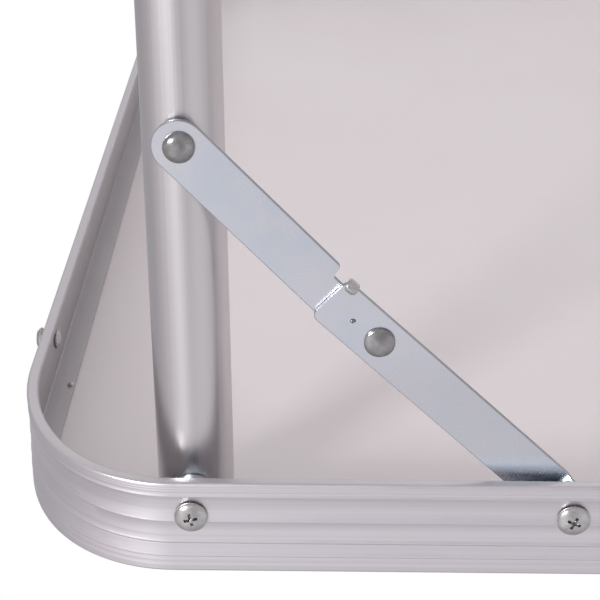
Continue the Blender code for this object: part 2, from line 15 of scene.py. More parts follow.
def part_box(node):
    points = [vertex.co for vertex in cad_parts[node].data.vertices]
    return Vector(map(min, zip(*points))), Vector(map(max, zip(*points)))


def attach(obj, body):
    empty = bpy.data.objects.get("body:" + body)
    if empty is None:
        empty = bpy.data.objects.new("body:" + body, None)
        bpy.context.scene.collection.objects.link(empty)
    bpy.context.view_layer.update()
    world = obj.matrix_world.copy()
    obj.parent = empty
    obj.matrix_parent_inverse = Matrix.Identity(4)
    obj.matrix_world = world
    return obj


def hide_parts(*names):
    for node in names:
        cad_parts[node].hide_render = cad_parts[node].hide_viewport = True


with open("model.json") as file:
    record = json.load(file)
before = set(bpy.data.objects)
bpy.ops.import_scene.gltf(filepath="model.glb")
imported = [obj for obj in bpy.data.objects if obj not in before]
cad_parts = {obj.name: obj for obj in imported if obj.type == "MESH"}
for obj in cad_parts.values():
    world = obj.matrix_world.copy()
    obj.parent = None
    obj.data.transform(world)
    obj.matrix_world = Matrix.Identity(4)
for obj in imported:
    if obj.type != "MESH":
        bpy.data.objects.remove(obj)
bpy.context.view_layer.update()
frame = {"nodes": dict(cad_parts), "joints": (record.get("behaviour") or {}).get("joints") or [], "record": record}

# ---------------------------------------------------------------- places, from the frame
JOINT = {joint["name"]: Vector(joint["pos_m"]) for joint in frame["joints"]}
BOW_LOW, BOW_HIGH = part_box("frame_bow_left")
END = -BOW_LOW.x
SIDE = BOW_HIGH.y
TOP = BOW_HIGH.z
RAIL_HEIGHT = TOP - BOW_LOW.z
BOW_EDGE = BOW_HIGH.x
CENTRE_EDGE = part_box("centre_rail_left")[1].x

LEG_PIVOT = JOINT["leg_fold_left"]
FRAME_PIVOT = JOINT["brace_lower_left_rear_pivot"]
LEG_RIVET = JOINT["brace_upper_left_rear_pivot"]
KNEE = sum(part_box("knee_rivet_left_rear"), Vector()) / 2
LEG_SPLAY = atan2(LEG_PIVOT.x - LEG_RIVET.x, LEG_PIVOT.z - LEG_RIVET.z)

LEG_LOW, LEG_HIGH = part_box("leg_tube_left_rear")
LEG_RADIUS = (LEG_HIGH.y - LEG_LOW.y) / 2
LEG_INSET = SIDE - (LEG_HIGH.y + LEG_LOW.y) / 2
BAR_LOW, BAR_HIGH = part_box("crossbar_left")
BAR_RADIUS = (BAR_HIGH.z - BAR_LOW.z) / 2
BAR_HEIGHT = (BAR_HIGH.z + BAR_LOW.z) / 2

# ---------------------------------------------------------------- sizes
GAP = 0.0003  # clearance between parts that move or nest
TOUCH = 0.0001  # clearance between parts that are pressed together
SOFT_EDGE = 0.00025  # bevel on the CAD parts that stay

# edge extrusion
WALL = 0.0016
RIM_WIDTH = 0.0041
RIM_DEPTH = 0.0024
RIM_ROUND = 0.0010
LIP_WIDTH = 0.008
LIP_THICKNESS = 0.0014
LIP_ROUND = 0.0008
LEDGE_WIDTH = 0.0100
LEDGE_DEPTH = 0.0073
LEDGE_THICKNESS = 0.0012
LEDGE_ROUND = 0.0005
FILLET = 0.0006
TIGHT_FILLET = 0.0003
RIM_SLOPE = 0.0008  # from the rim's top into the web

# its outer face: the height of its ridges and, from the lip down, the depths of the ridges and
# the (depth, share of RELIEF) of what lies between them
RELIEF = 0.00017
FINE_RELIEF = 0.00006
RIDGE_HALF_WIDTH = 0.00035
LIP_LINE_HALF_WIDTH = 0.0003
RIM_LINE_HALF_WIDTH = 0.0002
LIP_LINES = (0.0023, 0.0042)
BAND = ((0.0056, 1.0), (0.0059, 0.0), (0.0062, 0.0), (0.0070, 1.6), (0.0104, 0.6))
UPPER_RIDGE = 0.0113
UPPER_DRAW_MARK = ((0.0136, 1.0), (0.0140, 0.7), (0.0144, 1.0))
MIDDLE_RIDGE = 0.0190
LOWER_DRAW_MARK = ((0.0228, 1.0), (0.0232, 1.3), (0.0236, 1.0))
LOWER_RIDGE = 0.0282
RIM_LINES = (0.0300, 0.0309, 0.0317)

# its bend round a corner, and what bending did to the section
CORNER_X = 0.056
CORNER_Y = 0.076
CORNER_STEPS = 28
RIM_FLARE = 0.0004  # how far the rim was pushed outwards
FLARE_START = 0.022  # from this depth down
LIP_BULGE = 0.0012  # how far the lip was
BULGE_END = 0.020  # from this depth up
WEB_HOLLOW = 0.0004  # how far the web between them sank
HOLLOW_START = 0.011
HOLLOW_HEIGHT = 0.016

# leg set
LEG_WALL = 0.0012
LEG_TOP_RADIUS = 0.0130
LEG_END_ROUND = 0.0003
LEG_BORE = (0.008, 0.045)  # insets between which its pivot holes are cut
TUBE_STEPS = 72
FOOT_RADIUS = 0.0126
FOOT_HEIGHT = 0.012
FOOT_CHAMFER = 0.0004
FOOT_ROUND = 0.002
FOOT_GROOVES = (0.003, 0.0055, 0.008)  # below the end of the tube
GROOVE_DEPTH = 0.0005
TREAD_RINGS = (0.0075, 0.0045)  # ring grooves in the sole
TREAD_DEPTH = 0.0006
TREAD_WIDTH = 0.0006
TREAD_SLOPE = 0.0005
SPIGOT_LENGTH = 0.018
SPIGOT_CHAMFER = 0.001
WELD_BEAD = 0.0016
WELD_STEPS = 8

# knee brace
LINK_WIDTH = 0.0160
LINK_EDGE = LINK_WIDTH / 2
LINK_THICKNESS = 0.0018
LINK_TAIL = 0.0210
LINK_SOFTENING = 0.00028
LINK_TIP_CORNER = 0.0022
LINK_LENGTH = (Vector((KNEE.x, 0, KNEE.z)) - Vector((LEG_RIVET.x, 0, LEG_RIVET.z))).length
LOWER_FOOT_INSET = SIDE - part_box("brace_lower_left_rear")[1].y
LOWER_LINK_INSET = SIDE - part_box("brace_lower_left_rear")[0].y - LINK_THICKNESS
UPPER_LINK_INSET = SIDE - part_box("brace_upper_left_rear")[1].y
UPPER_LINK_BORE = (0.008, 0.012)
LOWER_LINK_BORE = (0.003, 0.008)
JOGGLE_START = 0.0060
JOGGLE_END = 0.0105
JOGGLE_STEPS = 8
NOTCH_START = 0.0253  # distances from the knee
NOTCH_END = 0.0100
NOTCH_DEPTH = 0.0038
NOTCH_CORNER = 0.0013
NOTCH_ROOT = 0.0007
NOTCH_LEAN = 0.0006
NOTCH_RUN_OUT = 0.0030
LINK_TUCK = 0.0018  # how much narrower the upper link is behind the lower one
TUCK_ROUND = 0.0012

# stop ear, at the corner of the lower link's tip
EAR_THICKNESS = 0.0016
EAR_BEND = 0.0024
EAR_STEPS = 14
EAR_ROUND = 0.00075
EAR_SET_IN = 0.0014
EAR_STAND = 0.0009
EAR_NEAR, EAR_FAR = 0.0044, 0.0002  # distances from the tip
EAR_TAPER_IN = (0.55, 0.74, 0.87, 0.95)
EAR_TAPER_OUT = (0.92, 0.7)

# punched pit in the lower link: place from the knee, across the link, and (radius, inset) profile
PIT_ALONG = 0.0108
PIT_ACROSS = -0.0004
PIT_PROFILE = ((0.0, -0.001), (0.0011, -0.001), (0.0008, 0.0001), (0.0007, 0.0030), (0.0, 0.0030))
PIT_STEPS = 20

# fasteners
SHANK_RADIUS = 0.0025
BORE_STEPS = 32
HEAD_STEPS = 48
HEAD_RIM = 0.0006
HEAD_RINGS = 10
SCREW_HEAD_RADIUS = 0.00525
SCREW_HEAD_HEIGHT = 0.0024
SCREW_HEAD_ROUND = 0.0002
RECESS = ((-0.0040, 0.0028, 0.00062), (-0.0012, 0.0019, 0.00042),
          (-0.0002, 0.0006, 0.0002))  # a wing's (inset, reach, half width), from above the crown down
PIVOT_SCREW_TURN = radians(-14)
PIVOT_SCREW_TAIL = 0.0060  # behind the leg
BRACE_SCREW_TURN = radians(24)
SCREW_TIP_CHAMFER = (0.0006, 0.0005)  # across and along
RIVET_HEAD_RADIUS = 0.00475
RIVET_RIM = 0.0005
RIVET_ROUND = 0.0003
RIVET_TAIL = (0.0007, 0.0022)  # heights of its rim and its crown behind the leg
KNEE_HEAD_HEIGHT = 0.0017
KNEE_TAIL_RADIUS = RIVET_HEAD_RADIUS - 0.0006
KNEE_TAIL = (0.0004, 0.0009)  # heights of its rim and its crown behind the upper link
TAIL_ROUND = 0.0002
BUSH_RADIUS = 0.0082
BUSH_ROUND = 0.0008
BUSH_STEPS = 64
NUT_RADIUS = 0.0046  # over its corners
NUT_HEIGHT = 0.0036
NUT_CHAMFER = 0.0004
NUT_GAP = 0.0008  # between the leg and the nut
NUT_BORE = SHANK_RADIUS + 0.00005
NUT_STEPS = 24
LEDGE_RIVET_FROM_END = 0.0086
LEDGE_RIVET_FROM_SIDE = 0.1063
LEDGE_RIVET_SHANK = ((0.0, 0.0004), (0.0009, 0.0004), (0.0009, 0.0), (0.0013, -0.00005),
                     (0.0013, -0.0002))  # (radius, height) from the ledge's face
LEDGE_RIVET_CROWN = (0.0012, 0.0008)
LEDGE_RIVET_CROWN_BASE = -0.0003

# ---------------------------------------------------------------- quadrants
QUADRANTS = [(half, side, (along, across))
             for half, along in (("left", 1), ("right", -1))
             for side, across in (("rear", 1), ("front", -1))]


# ---------------------------------------------------------------- outlines
def arc(centre, radii, start, sweep, steps):
    """Points of an elliptical arc, both ends included."""
    angles = [start + sweep * k / steps for k in range(steps + 1)]
    return [(centre[0] + radii[0] * cos(a), centre[1] + radii[1] * sin(a)) for a in angles]


def circle(steps, offset=0.0):
    """Equal angles round a circle."""
    return [2 * pi * (k + offset) / steps for k in range(steps)]


def rounded(corners, steps=4, closed=True):
    """Outline through (u, v, radius) corners, each corner an arc tangent to its two sides."""
    points = []
    last = len(corners) - 1
    for k, (u, v, radius) in enumerate(corners):
        here = Vector((u, v))
        if radius == 0 or (not closed and k in (0, last)):
            points.append((u, v))
            continue
        before = (Vector(corners[k - 1][:2]) - here).normalized()
        after = (Vector(corners[(k + 1) % len(corners)][:2]) - here).normalized()
        half = before.angle(after) / 2
        centre = here + (before + after).normalized() * radius / sin(half)
        first = here + before * radius / tan(half) - centre
        second = here + after * radius / tan(half) - centre
        sweep = pi - 2 * half
        for step in range(steps + 1):
            part = sweep * step / steps
            spoke = (first * sin(sweep - part) + second * sin(part)) / sin(sweep)
            points.append(tuple(centre + spoke))
    return points


def dome(radius, base, top, edge, rings=8):
    """(radius, height) points of a domed head with a softened edge, from its rim to its crown."""
    points = [(radius, base - edge)]
    for k in range(rings):
        angle = pi / 2 * k / rings
        points.append((radius * cos(angle), base + (top - base) * sin(angle)))
    return points + [(0.0, top)]


def outward(points, base=0.0):
    """A head's (radius, height) points as insets outside its base, from its crown to its rim."""
    return [(radius, base - height) for radius, height in reversed(points)]


# ---------------------------------------------------------------- shapes
def skin(shape, rows, closed_loop):
    """Faces between rows of vertices; a row of one vertex is a pole."""
    pairs = list(zip(rows, rows[1:]))
    if closed_loop:
        pairs.append((rows[-1], rows[0]))
    for first, second in pairs:
        count = max(len(first), len(second))
        for i in range(count):
            j = (i + 1) % count
            corners = [first[i % len(first)], first[j % len(first)],
                       second[j % len(second)], second[i % len(second)]]
            shape.faces.new(list(dict.fromkeys(corners)))


def loft(rings, closed_loop=False, cut=None):
    """Skin equal rings of points, with caps where they don't close into a loop.

    Each point's "grain" is its place across and along, and how far it is a cut edge.
    """
    shape = bmesh.new()
    grain = shape.verts.layers.float_vector.new("grain")
    across = [0.0]
    for first, second in zip(rings[0], rings[0][1:]):
        across.append(across[-1] + (Vector(second) - Vector(first)).length)
    rows = []
    along = 0.0
    for k, ring in enumerate(rings):
        if k:
            along += (Vector(ring[0]) - Vector(rings[k - 1][0])).length
        row = []
        for point, place, edge in zip(ring, across, cut or [0.0] * len(ring)):
            vertex = shape.verts.new(point)
            vertex[grain] = (place, along, edge)
            row.append(vertex)
        rows.append(row)
    skin(shape, rows, closed_loop)
    if not closed_loop:
        shape.faces.new(rows[0])
        shape.faces.new(rows[-1])
    return shape


def turned(profile, to_place, steps=HEAD_STEPS, closed_loop=False):
    """Turn a (radius, height) profile about its axis; zero radii at its ends become poles."""
    shape = bmesh.new()
    angles = circle(steps, 0.5)
    rows = []
    for radius, height in profile:
        ring = [(radius * cos(a), radius * sin(a)) for a in angles] if radius else [(0.0, 0.0)]
        rows.append([shape.verts.new(to_place(u, v, height)) for u, v in ring])
    skin(shape, rows, closed_loop)
    return shape


def on_side(place):
    """Placer for pieces whose axis runs inwards from the outer face of the rear side."""
    return lambda u, v, inset: (place.x + u, SIDE - inset, place.z + v)


def bore(place, start, end):
    """The plug of a shank's hole, between two insets."""
    radius = SHANK_RADIUS + GAP
    return turned([(0.0, start), (radius, start), (radius, end), (0.0, end)],
                  on_side(place), BORE_STEPS)


def mirrored_mesh(name, shape, mirror):
    """A bmesh as a mesh in the corner that the mirror signs choose."""
    for vertex in shape.verts:
        vertex.co.x *= mirror[0]
        vertex.co.y *= mirror[1]
    bmesh.ops.recalc_face_normals(shape, faces=shape.faces)
    mesh = bpy.data.meshes.new(name)
    shape.to_mesh(mesh)
    shape.free()
    return mesh


def soften_shading(mesh, sharp):
    """Smooth shading, except at edges of at least so many degrees."""
    mesh.shade_smooth()
    mesh.set_sharp_from_angle(angle=radians(sharp))


def add_piece(name, shape, body, finish, stands_for=(), mirror=(1, 1), sharp=32):
    """Turn a bmesh into a piece that rides on a body, takes its finish and stands for CAD nodes."""
    mesh = mirrored_mesh(name, shape, mirror)
    soften_shading(mesh, sharp)
    mesh.materials.append(finish)
    piece = bpy.data.objects.new(name, mesh)
    bpy.context.collection.objects.link(piece)
    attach(piece, body)
    if stands_for:
        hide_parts(*stands_for)
    return piece


def carve(piece, shape, mirror, sharp=32):
    """Cut a shape out of a piece for good."""
    tool = bpy.data.objects.new("tool", mirrored_mesh("tool", shape, mirror))
    bpy.context.collection.objects.link(tool)
    change = piece.modifiers.new("carve", "BOOLEAN")
    change.object = tool
    change.solver = "EXACT"
    graph = bpy.context.evaluated_depsgraph_get()
    carved = bpy.data.meshes.new_from_object(piece.evaluated_get(graph), depsgraph=graph)
    piece.modifiers.clear()
    piece.data = carved
    bpy.data.objects.remove(tool)
    soften_shading(carved, sharp)


# ---------------------------------------------------------------- finishes
INNER_FACE = (0.0385, 0.0400)  # distance round the extrusion's skin where its inner face begins, which is painted darker as shade
LAMINATE_IOR = 1.48


class Nodes:
    """Short calls for building a node tree."""

    def __init__(self, tree):
        self.tree = tree

    def add(self, kind, settings=(), **inputs):
        made = self.tree.nodes.new(kind)
        for name, value in dict(settings).items():
            setattr(made, name, value)
        for name, value in inputs.items():
            self.feed(made, name.replace("_", " "), value)
        return made

    def feed(self, target, name, value):
        """Link or set an input, given by its name or its number."""
        socket = target.inputs[int(name)] if name.isdigit() else target.inputs[name]
        if isinstance(value, bpy.types.NodeSocket):
            self.tree.links.new(value, socket)
        else:
            socket.default_value = value

    def maths(self, operation, first, second):
        made = self.add("ShaderNodeMath", {"operation": operation})
        self.feed(made, "0", first)
        self.feed(made, "1", second)
        return made.outputs[0]

    def sum(self, first, second):
        return self.maths("ADD", first, second)

    def product(self, first, second):
        return self.maths("MULTIPLY", first, second)

    def place(self):
        """A point's place on the object, which rides with it."""
        return self.add("ShaderNodeTexCoord").outputs["Object"]

    def grain(self):
        """The place across and along that loft stored, and how far a point is a cut edge."""
        return self.add("ShaderNodeAttribute", {"attribute_name": "grain"}).outputs["Vector"]

    def axes(self, vector):
        return self.add("ShaderNodeSeparateXYZ", Vector=vector).outputs

    def noise(self, vector, scale, detail=3.0, roughness=0.55):
        """Noise with so many waves a metre, the same for all axes or one number for each."""
        scaled = self.add("ShaderNodeVectorMath", {"operation": "MULTIPLY"})
        self.feed(scaled, "0", vector)
        self.feed(scaled, "1", scale if isinstance(scale, tuple) else (scale, scale, scale))
        made = self.add("ShaderNodeTexNoise", Vector=scaled.outputs[0], Scale=1.0,
                        Detail=detail, Roughness=roughness)
        return made.outputs["Fac"]

    def spread(self, value, low, high, start=0.3, stop=0.7):
        """The range from start to stop as low to high, held at both ends."""
        made = self.add("ShaderNodeMapRange", Value=value)
        for name, number in (("From Min", start), ("From Max", stop),
                             ("To Min", low), ("To Max", high)):
            made.inputs[name].default_value = number
        return made.outputs[0]

    def blend(self, share, first, second):
        made = self.add("ShaderNodeMix", {"data_type": "RGBA"})
        self.feed(made, "0", share)
        self.feed(made, "6", (*first, 1.0) if isinstance(first, tuple) else first)
        self.feed(made, "7", (*second, 1.0) if isinstance(second, tuple) else second)
        return made.outputs[2]

    def bump(self, height, distance, strength, below=None):
        made = self.add("ShaderNodeBump", Height=height, Distance=distance, Strength=strength)
        if below is not None:
            self.feed(made, "Normal", below)
        return made.outputs["Normal"]


def new_finish(name, tone_of, metallic=0.0):
    """A principled material whose colour, roughness and normal come from tone_of(nodes)."""
    made = bpy.data.materials.new("finish_" + name)
    made.use_nodes = True
    nodes = Nodes(made.node_tree)
    shader = made.node_tree.nodes["Principled BSDF"]
    for socket, value in zip(("Base Color", "Roughness", "Normal"), tone_of(nodes)):
        nodes.feed(shader, socket, value)
    shader.inputs["Metallic"].default_value = metallic
    return made


def extruded_look(nodes):
    """Mill-finish aluminium with die lines along the extrusion and faint handling marks; painted shade darkens its
    inner face.
    """
    grain, place = nodes.grain(), nodes.place()
    lines = nodes.noise(grain, (1500.0, 1.2, 1.0), 4.0, 0.65)
    broad = nodes.noise(grain, (260.0, 2.5, 1.0), 2.0)
    clouds = nodes.noise(place, (22.0, 22.0, 60.0))
    marks = nodes.noise(place, (240.0, 240.0, 700.0), 5.0, 0.7)
    tone = nodes.blend(nodes.spread(broad, 0.0, 1.0), (0.72, 0.695, 0.73), (0.80, 0.78, 0.815))
    tone = nodes.blend(nodes.spread(clouds, 0.0, 0.35), tone, (0.73, 0.70, 0.735))
    tone = nodes.blend(nodes.spread(lines, 0.0, 0.4, 0.35, 0.75), tone, (0.88, 0.86, 0.89))
    # painted shade: the inner face is darkened where the frame shades it; its extra roughness below is real
    inside = nodes.spread(nodes.axes(grain)["X"], 0.0, 1.0, *INNER_FACE)
    tone = nodes.blend(nodes.product(inside, 0.75), tone, (0.44, 0.42, 0.43))
    rough = nodes.sum(nodes.spread(clouds, 0.30, 0.38), nodes.spread(marks, -0.03, 0.05))
    relief = nodes.bump(lines, 0.00002, 0.5)
    return (tone, nodes.sum(rough, nodes.product(inside, 0.10)),
            nodes.bump(marks, 0.00002, 0.35, relief))


def tube_look(nodes):
    """Satin drawn aluminium tube, with draw lines along it and a few rubs across."""
    place = nodes.place()
    lines = nodes.noise(place, (1100.0, 1100.0, 2.0), 3.0, 0.6)
    broad = nodes.noise(place, (170.0, 170.0, 0.8), 2.0)
    rubs = nodes.noise(place, (60.0, 60.0, 500.0), 4.0, 0.7)
    tone = nodes.blend(nodes.spread(broad, 0.0, 1.0), (0.63, 0.61, 0.625), (0.69, 0.675, 0.685))
    tone = nodes.blend(nodes.spread(lines, 0.0, 0.3, 0.4, 0.8), tone, (0.78, 0.765, 0.775))
    rough = nodes.sum(nodes.spread(lines, 0.29, 0.35), nodes.spread(rubs, 0.0, 0.05, 0.55, 0.8))
    return tone, rough, nodes.bump(lines, 0.000012, 0.5)


def zinc_look(nodes):
    """Zinc plate: bluish clouds, a fine skin, painted shade towards the rim, a painted blue reflection just below
    it and painted shade on the duller cut edges.
    """
    place = nodes.place()
    clouds = nodes.noise(place, 55.0)
    patches = nodes.noise(place, 140.0, 4.0, 0.6)
    skin_grain = nodes.noise(place, 1600.0, 3.0, 0.6)
    tone = nodes.blend(nodes.spread(clouds, 0.0, 1.0), (0.68, 0.735, 0.80), (0.76, 0.76, 0.815))
    tone = nodes.blend(nodes.spread(patches, 0.0, 0.5, 0.45, 0.75), tone, (0.76, 0.745, 0.765))
    height = nodes.axes(place)["Z"]
    rim = TOP - RAIL_HEIGHT
    # painted shade: greyer and darker from 5 cm below the frame's rim upwards, as if the frame shaded the links
    tone = nodes.blend(nodes.spread(height, 0.0, 0.5, rim - 0.050, rim - 0.030),
                       tone, (0.62, 0.62, 0.66))
    # painted reflection: bluer in the last few millimetres below the rim, for the blue that the bend at a lower
    # link's foot reflects
    tone = nodes.blend(nodes.spread(height, 0.0, 1.0, rim - 0.0070, rim - 0.0040),
                       tone, (0.66, 0.74, 0.83))
    # painted shade: the cut edges are darkened; their extra roughness is real
    sheared = nodes.axes(nodes.grain())["Z"]
    tone = nodes.blend(nodes.product(sheared, 0.6), tone, (0.30, 0.31, 0.34))
    rough = nodes.sum(nodes.spread(patches, 0.20, 0.30), nodes.spread(skin_grain, -0.03, 0.04))
    relief = nodes.bump(patches, 0.00004, 0.2)
    return (tone, nodes.sum(rough, nodes.product(sheared, 0.12)),
            nodes.bump(skin_grain, 0.000005, 0.4, relief))


def fastener_look(dark, light, rough):
    """Bright plated steel, slightly scuffed where tools have pressed it."""
    def look(nodes):
        place = nodes.place()
        scuffs = nodes.noise(place, 900.0, 5.0, 0.7)
        stains = nodes.noise(place, 260.0)
        return (nodes.blend(nodes.spread(stains, 0.0, 1.0), dark, light),
                nodes.spread(scuffs, *rough), nodes.bump(scuffs, 0.00003, 0.35))
    return look


def board_look(nodes):
    """Pale laminate: a fine orange-peel skin, faint fibres and slow tone changes."""
    place = nodes.place()
    slow = nodes.noise(place, 5.0)
    fibres = nodes.noise(place, (90.0, 900.0, 90.0), 4.0, 0.7)
    peel = nodes.noise(place, 700.0, 2.0)
    tone = nodes.blend(nodes.spread(slow, 0.0, 1.0), (0.785, 0.735, 0.745), (0.825, 0.785, 0.795))
    tone = nodes.blend(nodes.spread(fibres, 0.0, 0.10, 0.5, 0.8), tone, (0.68, 0.63, 0.63))
    rough = nodes.sum(nodes.spread(slow, 0.40, 0.50), nodes.spread(fibres, -0.03, 0.05))
    return tone, rough, nodes.bump(peel, 0.00004, 0.25)


def plastic_look(nodes):
    """Dark grey moulded plastic with a fine spark-eroded grain and scuffed high spots."""
    place = nodes.place()
    grain = nodes.noise(place, 1300.0, 3.0, 0.6)
    wear = nodes.noise(place, 180.0, 4.0, 0.65)
    tone = nodes.blend(nodes.spread(wear, 0.0, 1.0), (0.045, 0.045, 0.05), (0.085, 0.085, 0.09))
    rough = nodes.sum(nodes.spread(wear, 0.42, 0.60), nodes.spread(grain, -0.04, 0.06))
    return tone, rough, nodes.bump(grain, 0.00006, 0.5)


def floor_look(nodes):
    """Plain pale studio floor."""
    cloud = nodes.noise(nodes.place(), 1.5)
    tone = nodes.blend(nodes.spread(cloud, 0.0, 1.0), (0.90, 0.90, 0.90), (0.94, 0.94, 0.94))
    return tone, nodes.spread(cloud, 0.7, 0.8)


EXTRUSION = new_finish("extruded_aluminium", extruded_look, 1.0)
TUBE = new_finish("satin_tube", tube_look, 1.0)
ZINC = new_finish("zinc_plate", zinc_look, 1.0)
NICKEL = new_finish("bright_fastener", fastener_look(
    (0.47, 0.455, 0.455), (0.69, 0.685, 0.69), (0.18, 0.36)), 1.0)
# the rivets' copy of the fastener finish, darker all over: painted shade for the dark surroundings their domes
# reflect
RIVET = new_finish("bright_fastener_shaded", fastener_look(
    (0.27, 0.265, 0.265), (0.44, 0.435, 0.44), (0.14, 0.27)), 1.0)
BOARD = new_finish("laminated_board", board_look)
BOARD.node_tree.nodes["Principled BSDF"].inputs["IOR"].default_value = LAMINATE_IOR
PLASTIC = new_finish("grey_plastic", plastic_look)


# ---------------------------------------------------------------- frame of one half
def ridge(depth, half_width, height):
    """A low rounded ridge along the outer face, which is inset by RELIEF."""
    foot, shoulder = half_width * 1.6, half_width * 0.7
    high = RELIEF - height * 0.75
    return [(RELIEF, depth - foot), (high, depth - shoulder), (RELIEF - height, depth),
            (high, depth + shoulder), (RELIEF, depth + foot)]


def steps_of(marks):
    """Points of the outer face from (depth, share of RELIEF)."""
    return [(RELIEF * share, depth) for depth, share in marks]


def rail_section():
    """Skin of the edge extrusion as (inset, depth), from the lip down the outer face and back up."""
    points = arc((LIP_ROUND, LIP_ROUND), (LIP_ROUND - RELIEF, LIP_ROUND), -pi / 2, -pi / 2, 4)
    for depth in LIP_LINES:
        points += ridge(depth, LIP_LINE_HALF_WIDTH, FINE_RELIEF)
    points += steps_of(BAND)
    points += ridge(UPPER_RIDGE, RIDGE_HALF_WIDTH, RELIEF) + steps_of(UPPER_DRAW_MARK)
    points += ridge(MIDDLE_RIDGE, RIDGE_HALF_WIDTH, RELIEF) + steps_of(LOWER_DRAW_MARK)
    points += ridge(LOWER_RIDGE, RIDGE_HALF_WIDTH, RELIEF)
    for depth in RIM_LINES:
        points += ridge(depth, RIM_LINE_HALF_WIDTH, FINE_RELIEF)
    round_low = RAIL_HEIGHT - RIM_ROUND
    radii = (RIM_ROUND, RIM_ROUND)
    points += arc((RIM_ROUND, round_low), radii, pi, -pi / 2, 5)
    points += arc((RIM_WIDTH - RIM_ROUND, round_low), radii, pi / 2, -pi / 2, 5)
    rim_top = RAIL_HEIGHT - RIM_DEPTH
    ledge_end = LEDGE_DEPTH + LEDGE_THICKNESS
    inside = [(RIM_WIDTH, round_low, 0.0), (RIM_WIDTH, rim_top, TIGHT_FILLET),
              (WALL, rim_top - RIM_SLOPE, FILLET), (WALL, ledge_end, FILLET),
              (LEDGE_WIDTH, ledge_end, LEDGE_ROUND), (LEDGE_WIDTH, LEDGE_DEPTH, LEDGE_ROUND),
              (WALL, LEDGE_DEPTH, TIGHT_FILLET), (WALL, LIP_THICKNESS, TIGHT_FILLET),
              (LIP_WIDTH, LIP_THICKNESS, FILLET), (LIP_WIDTH, 0.0, FILLET), (LIP_ROUND, 0.0, 0.0)]
    return points + rounded(inside, 3, closed=False)[1:-1]


def bow_stations():
    """Plan of the bow as (sign of the side, angle, share of the way round its bend)."""
    stations = [(1, None, 0.0)]
    for sign, start in ((1, pi / 2), (-1, pi)):
        for k in range(CORNER_STEPS + 1):
            share = k / CORNER_STEPS
            stations.append((sign, start + pi / 2 * share, share))
    return stations + [(-1, None, 0.0)]


def bow_point(station, inset, depth):
    """Place of a section point at a station; bending has flared the rim and hollowed the web."""
    sign, angle, share = station
    bent = sin(pi * share) ** 2
    lowness = max(0.0, (depth - FLARE_START) / (RAIL_HEIGHT - FLARE_START))
    highness = max(0.0, 1 - depth / BULGE_END)
    inset -= bent * (RIM_FLARE * lowness ** 2 + LIP_BULGE * highness ** 2)
    if inset < WALL * 1.2:  # the web alone, without rim, ledge and lip
        hollow = min(1.0, max(0.0, (depth - HOLLOW_START) / HOLLOW_HEIGHT))
        inset += WEB_HOLLOW * bent * sin(pi * hollow) ** 2
    if angle is None:
        return (BOW_EDGE - inset, sign * (SIDE - inset), TOP - depth)
    return (-END + CORNER_X + (CORNER_X - inset) * cos(angle),
            sign * (SIDE - CORNER_Y) + (CORNER_Y - inset) * sin(angle), TOP - depth)


def add_frame(half, along):
    """Bent edge extrusion and mitred centre rail; the board keeps its CAD shape."""
    section = rail_section()
    body = f"{half}_half"
    rings = [[bow_point(station, inset, depth) for inset, depth in section]
             for station in bow_stations()]
    add_piece(f"edge_bow_{half}", loft(rings), body, EXTRUSION,
              [f"frame_bow_{half}"], (along, 1), sharp=24)
    ends = [[(CENTRE_EDGE - inset, sign * (SIDE - GAP - inset), TOP - depth)
             for inset, depth in section] for sign in (1, -1)]
    add_piece(f"centre_edge_rail_{half}", loft(ends), body, EXTRUSION,
              [f"centre_rail_{half}"], (along, 1), sharp=24)


# ---------------------------------------------------------------- leg set
LEG_Y = SIDE - LEG_INSET
LEG_LENGTH = (LEG_PIVOT.z - FOOT_HEIGHT) / cos(LEG_SPLAY)


def splayed(x, y, z):
    """A point drawn on an upright leg about the leg pivot, turned to the leg's splay."""
    return (LEG_PIVOT.x + x * cos(LEG_SPLAY) + z * sin(LEG_SPLAY), y,
            LEG_PIVOT.z - x * sin(LEG_SPLAY) + z * cos(LEG_SPLAY))


def leg_ring(radius, height):
    """A ring round the leg's axis, at a height or, without one, on its rounded upper end."""
    points = []
    for a in circle(TUBE_STEPS):
        x = radius * cos(a)
        level = sqrt(LEG_TOP_RADIUS ** 2 - x * x) if height is None else height
        points.append(splayed(x, LEG_Y + radius * sin(a), level))
    return points


def foot_profile():
    """(radius, height) of the plug in the tube's end: spigot, grooved side and ringed tread."""
    end = -LEG_LENGTH
    sole = end - FOOT_HEIGHT
    spigot = LEG_RADIUS - LEG_WALL - GAP
    top = end + SPIGOT_LENGTH
    profile = [(0.0, top), (spigot - SPIGOT_CHAMFER, top), (spigot, top - SPIGOT_CHAMFER),
               (spigot, end - GAP), (FOOT_RADIUS - FOOT_CHAMFER, end - GAP),
               (FOOT_RADIUS, end - GAP - FOOT_CHAMFER)]
    for groove in FOOT_GROOVES:
        level = end - groove
        profile += [(FOOT_RADIUS, level + FOOT_CHAMFER), (FOOT_RADIUS - GROOVE_DEPTH, level),
                    (FOOT_RADIUS - GROOVE_DEPTH, level - FOOT_CHAMFER),
                    (FOOT_RADIUS, level - 2 * FOOT_CHAMFER)]
    profile += arc((FOOT_RADIUS - FOOT_ROUND, sole + FOOT_ROUND), (FOOT_ROUND, FOOT_ROUND),
                   0, -pi / 2, 6)
    for radius in TREAD_RINGS:
        inner = radius - TREAD_WIDTH
        profile += [(radius + TREAD_SLOPE, sole), (radius, sole + TREAD_DEPTH),
                    (inner, sole + TREAD_DEPTH), (inner - TREAD_SLOPE, sole)]
    return profile + [(0.0, sole)]


